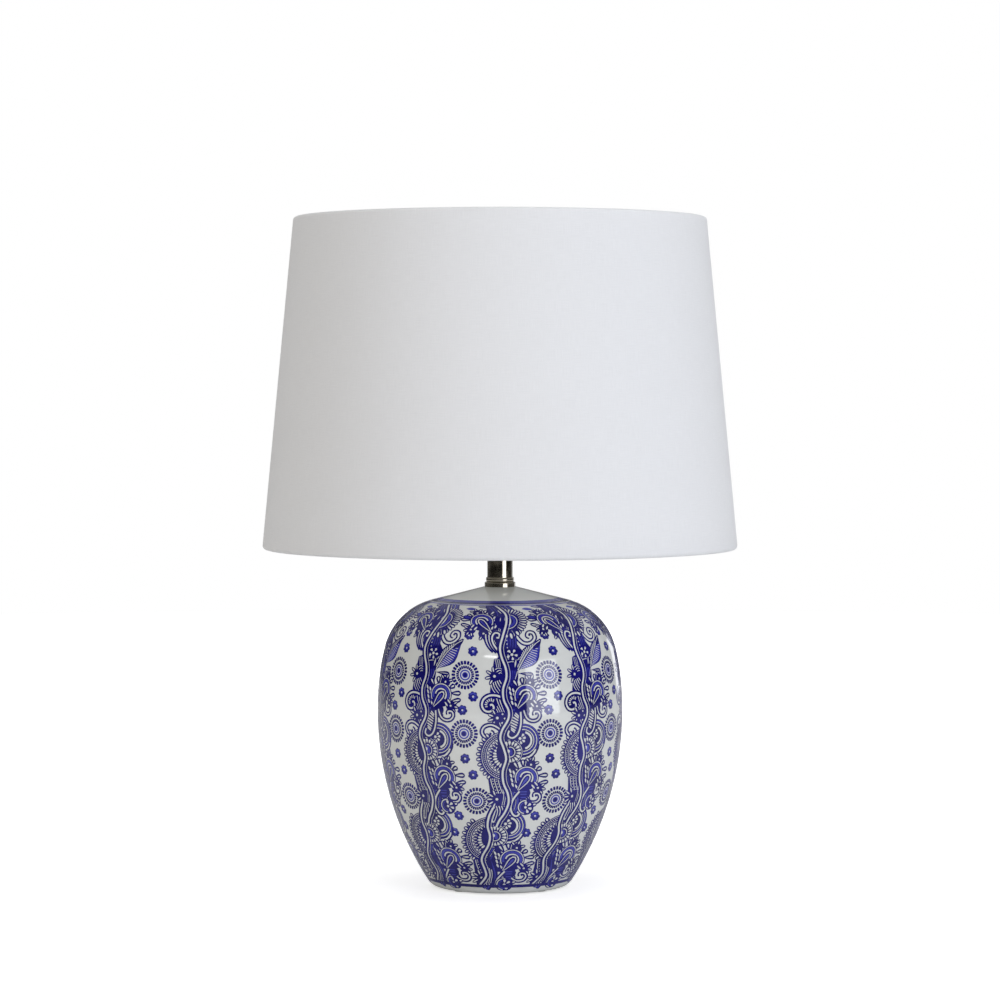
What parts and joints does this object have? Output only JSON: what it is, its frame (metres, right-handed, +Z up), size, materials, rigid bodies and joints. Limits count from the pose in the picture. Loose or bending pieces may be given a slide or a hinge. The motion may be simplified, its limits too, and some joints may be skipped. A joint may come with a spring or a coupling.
{
  "type": "table lamp",
  "caption": "Ginger jar table lamp: printed ceramic jar on a tie rod, nickel neck, E27 holder and LED bulb, tapered white drum shade on a height-adjustable ring fitter.",
  "frame": {"origin": "centre of the bottom, on the surface that the lamp stands on", "axes": "+Z up along the lamp's axis; the front is -Y; the lead leaves at the back, +Y"},
  "size_m": [0.3556, 0.3555, 0.5018],
  "materials": {
    "glaze": "glossy glaze with a cobalt blue print",
    "foot_rubber": "soft matt",
    "grommet_rubber": "soft matt",
    "washer_rubber": "soft matt",
    "zinc_steel": "zinc plated",
    "polished_nickel": "polished nickel plate",
    "holder_plastic": "satin white moulding",
    "porcelain": "unglazed porcelain",
    "nickelled_brass": "nickel-plated brass",
    "shade_cloth": "fine plain-weave cotton",
    "liner_plastic": "matt white sheet",
    "white_wire": "white powder coat",
    "black_glass": "black insulator",
    "solder": "tinned tip",
    "cap_aluminium": "rolled screw cap",
    "bulb_plastic": "white moulding",
    "opal_diffuser": "opal diffuser",
    "board_aluminium": "white solder mask",
    "phosphor": "yellow phosphor",
    "green_board": "circuit board",
    "capacitor_sleeve": "shrink sleeve"
  },
  "bodies": {
    "lamp": {"ceramic_jar": "glaze", "foot_pads": "foot_rubber", "cord_grommet": "grommet_rubber", "threaded_rod": "zinc_steel", "rod_nut": "zinc_steel", "spring_washer": "zinc_steel", "steel_washer": "zinc_steel", "rubber_washer": "washer_rubber", "neck_gasket": "washer_rubber", "neck_collar": "polished_nickel", "neck_tube": "polished_nickel", "holder_cap": "holder_plastic", "cap_locknut": "zinc_steel", "holder_barrel": "holder_plastic", "contact_block": "porcelain", "terminal_screws": "zinc_steel", "screw_shell": "nickelled_brass", "centre_contact": "nickelled_brass"},
    "seat": {"seat_ring": "holder_plastic"},
    "lock": {"lock_ring": "holder_plastic"},
    "shade": {"shade_cover": "shade_cloth", "shade_liner": "liner_plastic", "top_ring_wire": "white_wire", "bottom_ring_wire": "white_wire", "fitter_ring": "white_wire", "fitter_arms": "white_wire"},
    "bulb_foot": {"bulb_insulator": "black_glass", "bulb_contact": "solder"},
    "bulb": {"bulb_cap": "cap_aluminium", "bulb_housing": "bulb_plastic", "bulb_globe": "opal_diffuser", "led_board": "board_aluminium", "leds": "phosphor", "driver_board": "green_board", "driver_capacitor": "capacitor_sleeve"}
  },
  "joints": [
    {"name": "shade_rise", "type": "slide", "parent": "lamp", "child": "seat", "axis": [0, 0, 1], "range_m": [0, 0.0075]},
    {"name": "ring_turn", "type": "hinge", "parent": "seat", "child": "lock", "pos_m": [0, 0, 0.2955], "axis": [0, 0, 1], "range_deg": [0, 1080]},
    {"name": "shade_turn", "type": "hinge", "parent": "seat", "child": "shade", "pos_m": [0, 0, 0.293], "axis": [0, 0, 1], "continuous": true},
    {"name": "bulb_rise", "type": "slide", "parent": "lamp", "child": "bulb_foot", "axis": [0, 0, 1], "range_m": [0, 0.01543]},
    {"name": "bulb_turn", "type": "hinge", "parent": "bulb_foot", "child": "bulb", "pos_m": [0, 0, 0.31], "axis": [0, 0, 1], "range_deg": [0, 1530]}
  ],
  "couplings": [
    {"joint": "ring_turn", "follows": "shade_rise", "rad_per_m": 2513.3},
    {"joint": "bulb_rise", "follows": "bulb_turn", "m_per_rad": 0.00057757}
  ]
}
